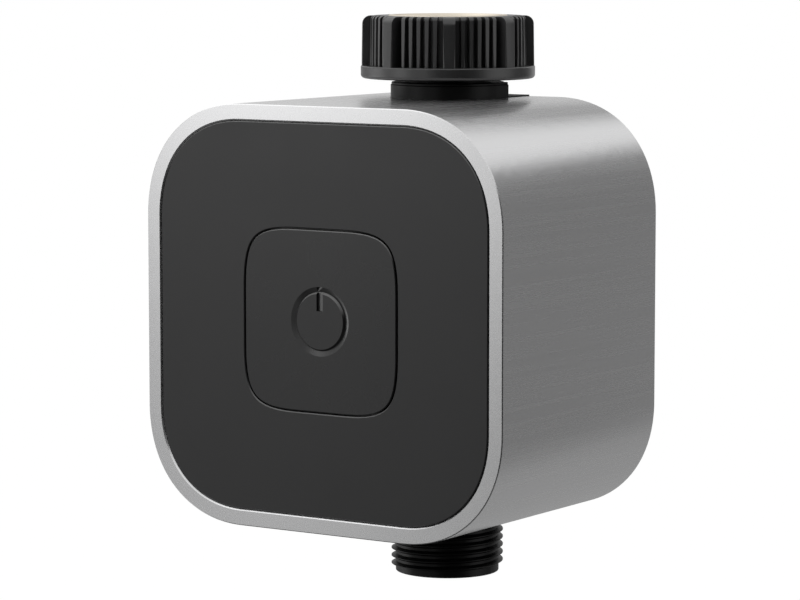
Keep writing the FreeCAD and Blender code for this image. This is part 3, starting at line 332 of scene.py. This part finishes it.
def paint_metals():
    zinc = metal("zinc steel", STEEL, roughness=0.35)
    stainless = metal("stainless steel", STEEL, roughness=0.25)
    nickel = metal("nickel steel", NICKEL, roughness=0.28)
    copper = metal("copper wire", COPPER, roughness=0.35, stretch=DRAWN_ALONG_Y)
    paint(brushed_metal("anodised aluminium", ALUMINIUM, roughness=0.27), "sleeve")
    paint(metal("pale brass", PALE_BRASS, roughness=0.45), "nut_insert", "nut_retaining_ring")
    paint(zinc, "core_screws", "bonnet_screws", "board_screws", "rear_cover_screws")
    paint(metal("yoke steel", STEEL, roughness=0.4), "solenoid_yoke")
    paint(stainless, "inlet_filter", "core_tube", "fixed_core", "armature")
    paint(metal("spring steel", STEEL, roughness=0.25), "diaphragm_spring", "armature_spring")
    paint(nickel, "contact_springs", "contact_plates", "latching_magnet")
    paint(copper, "coil_winding")
    paint(metal("tinned steel", TIN, roughness=0.3), "radio_module")


def make_moving_spring(name):
    """Put a copy in a spring's place, attached to the root body, and hide the spring."""
    piece = bpy.data.objects.new(name + "_moving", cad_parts[name].data.copy())
    bpy.context.scene.collection.objects.link(piece)
    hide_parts(name)
    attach(piece, "root")
    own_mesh(piece)


# Camera, light and surroundings


def make_camera():
    data = bpy.data.cameras.new("camera")
    data.sensor_width = sensor_width
    data.lens = camera_lens
    camera = bpy.data.objects.new("camera", data)
    camera.location = camera_place
    camera.rotation_euler = (math.pi / 2 - camera_tilt, 0, camera_turn)
    bpy.context.scene.collection.objects.link(camera)
    bpy.context.scene.camera = camera
    bpy.context.scene.view_settings.view_transform = "Standard"


def rectangle(name, width, length, height=0.0):
    """A flat rectangle round the Z axis, at a height."""
    x = width / 2
    y = length / 2
    corners = [(-x, -y, height), (x, -y, height), (x, y, height), (-x, y, height)]
    data = bpy.data.meshes.new(name)
    data.from_pydata(corners, [], [(0, 1, 2, 3)])
    data.update()
    made = bpy.data.objects.new(name, data)
    bpy.context.scene.collection.objects.link(made)
    return made


def mix_surface(tree, share, first, second):
    """Make a material's surface a mix of two shaders, with a share of the second."""
    mix = node(tree, "ShaderNodeMixShader", {"Fac": share, 1: first.outputs[0], 2: second.outputs[0]})
    connect(tree, mix.outputs["Shader"], tree.nodes["Material Output"].inputs["Surface"])


def background_rays(tree):
    """One for camera, glossy and transmission rays, which see the background, and zero for the others."""
    path = node(tree, "ShaderNodeLightPath").outputs
    seen = math_node(tree, "ADD", path["Is Camera Ray"], path["Is Glossy Ray"], use_clamp=True)
    return math_node(tree, "ADD", seen, path["Is Transmission Ray"], use_clamp=True)


def make_floor():
    """A pale floor that catches the part's shadow, and looks white to the camera and in reflections."""
    floor = rectangle("floor", floor_size, floor_size, low.z - floor_drop)
    material, tree, shader = new_material("pale floor")
    shader.inputs["Base Color"].default_value = (floor_white, floor_white, floor_white, 1)
    shader.inputs["Roughness"].default_value = floor_roughness
    shader.inputs["Specular IOR Level"].default_value = 0.0
    glow = node(tree, "ShaderNodeEmission", {"Strength": floor_glow})
    mix_surface(tree, math_node(tree, "MULTIPLY", background_rays(tree), floor_glow_share), shader, glow)
    floor.data.materials.append(material)


def make_sky():
    """A sky that looks white to the camera and in reflections, and lights the part more softly."""
    world = bpy.data.worlds.new("sky")
    bpy.context.scene.world = world
    world.use_nodes = True
    tree = world.node_tree
    background = tree.nodes["Background"]
    inputs = {"Value": background_rays(tree), "To Min": sky_fill, "To Max": 1.0}
    strength = node(tree, "ShaderNodeMapRange", inputs).outputs["Result"]
    connect(tree, (1, 1, 1, 1), background.inputs["Color"])
    connect(tree, strength, background.inputs["Strength"])


def aim(thing, place):
    """Put a lamp or a card at a place, facing the middle of the part."""
    thing.location = place
    thing.rotation_euler = (middle - place).to_track_quat("-Z", "Y").to_euler()


def make_lamp(name, offset, size, power):
    """A soft lamp that reflections don't see."""
    data = bpy.data.lights.new(name, "AREA")
    data.shape = "RECTANGLE"
    data.size, data.size_y = size
    data.energy = power
    lamp = bpy.data.objects.new(name, data)
    lamp.visible_glossy = False
    bpy.context.scene.collection.objects.link(lamp)
    aim(lamp, middle + offset)


def from_camera(turn, rise):
    """The direction from the part that is `turn` degrees right of the camera and `rise` degrees up."""
    across = math.atan2(camera_place.y, camera_place.x) + math.radians(turn)
    up = math.radians(rise)
    return Vector((math.cos(across) * math.cos(up), math.sin(across) * math.cos(up), math.sin(up)))


def make_card(name, toward, distance, size, strength, edge, across=LEVEL, upward=LEVEL):
    """A card that only reflections see, shaded across and upward, with soft edges."""
    card = rectangle(name, *size)
    aim(card, middle + toward * distance)
    material, tree, _ = new_material(name)
    coordinates = node(tree, "ShaderNodeTexCoord").outputs["Generated"]
    place = node(tree, "ShaderNodeSeparateXYZ", {0: coordinates}).outputs
    shade = math_node(tree, "MULTIPLY", ramp(tree, place["X"], across), ramp(tree, place["Y"], upward))
    glow = node(tree, "ShaderNodeEmission", {"Strength": math_node(tree, "MULTIPLY", shade, strength)})
    fade = [(0.0, 0.0), (edge, 1.0), (1 - edge, 1.0), (1.0, 0.0)]
    cover = math_node(tree, "MULTIPLY", ramp(tree, place["X"], fade), ramp(tree, place["Y"], fade))
    mix_surface(tree, cover, node(tree, "ShaderNodeBsdfTransparent"), glow)
    card.data.materials.append(material)
    card.visible_camera = False
    card.visible_diffuse = False
    card.visible_shadow = False
    card.visible_transmission = False


def make_cards():
    """The surroundings that the part mirrors."""
    front = from_camera(turn=-65.4, rise=-6)
    left = from_camera(turn=-105, rise=-8)
    above = Vector((-0.55, -0.1, 0.83))
    ahead = from_camera(turn=13, rise=-8)
    right = from_camera(turn=116, rise=-6)
    low_rear = from_camera(turn=160, rise=-36)
    under = Vector((0.02, -0.1, -0.99))
    rear = from_camera(turn=180, rise=3)
    rear_left = from_camera(turn=-142, rise=-5)
    high_rear = from_camera(turn=166, rise=30)
    shades = {"across": FRONT_ACROSS, "upward": FRONT_UPWARD}
    fading = {"across": RIGHT_ACROSS}
    # Mirrored by the front, its grooves and its chamfers
    make_card("front card", front, distance=0.42, size=(0.5, 0.7), strength=2.6, edge=0.08, **shades)
    make_card("left card", left, distance=0.6, size=(0.38, 0.2), strength=2.8, edge=0.12)
    make_card("above card", above, distance=0.6, size=(0.5, 0.5), strength=1.6, edge=0.15)
    # Mirrored by the middle of the nut, the neck and the thread
    make_card("dark card", ahead, distance=0.8, size=(1.34, 1.0), strength=0.02, edge=0.05)
    # Mirrored by the sleeve: its side, its lower corner, its underside and its top
    make_card("right card", right, distance=0.55, size=(0.55, 0.76), strength=0.32, edge=0.06, **fading)
    make_card("low card", low_rear, distance=0.36, size=(0.7, 0.4), strength=0.38, edge=0.1)
    make_card("under card", under, distance=0.33, size=(0.9, 0.9), strength=0.08, edge=0.15)
    make_card("rear card", rear, distance=0.6, size=(0.6, 0.46), strength=0.66, edge=0.2)
    # Mirrored by the left of the nut, and by the sleeve's upper corner, where it makes a darker band
    make_card("rear left card", rear_left, distance=0.7, size=(0.5, 0.5), strength=0.45, edge=0.1)
    make_card("dip card", high_rear, distance=0.55, size=(0.36, 0.2), strength=0.3, edge=0.3)


make_camera()
make_floor()
make_sky()
make_lamp("key lamp", key_lamp_place, key_lamp_size, key_lamp_power)
make_lamp("top lamp", top_lamp_place, top_lamp_size, top_lamp_power)
make_cards()
paint_plastics()
paint_rubbers()
paint_metals()
make_moving_spring("diaphragm_spring")
make_moving_spring("armature_spring")
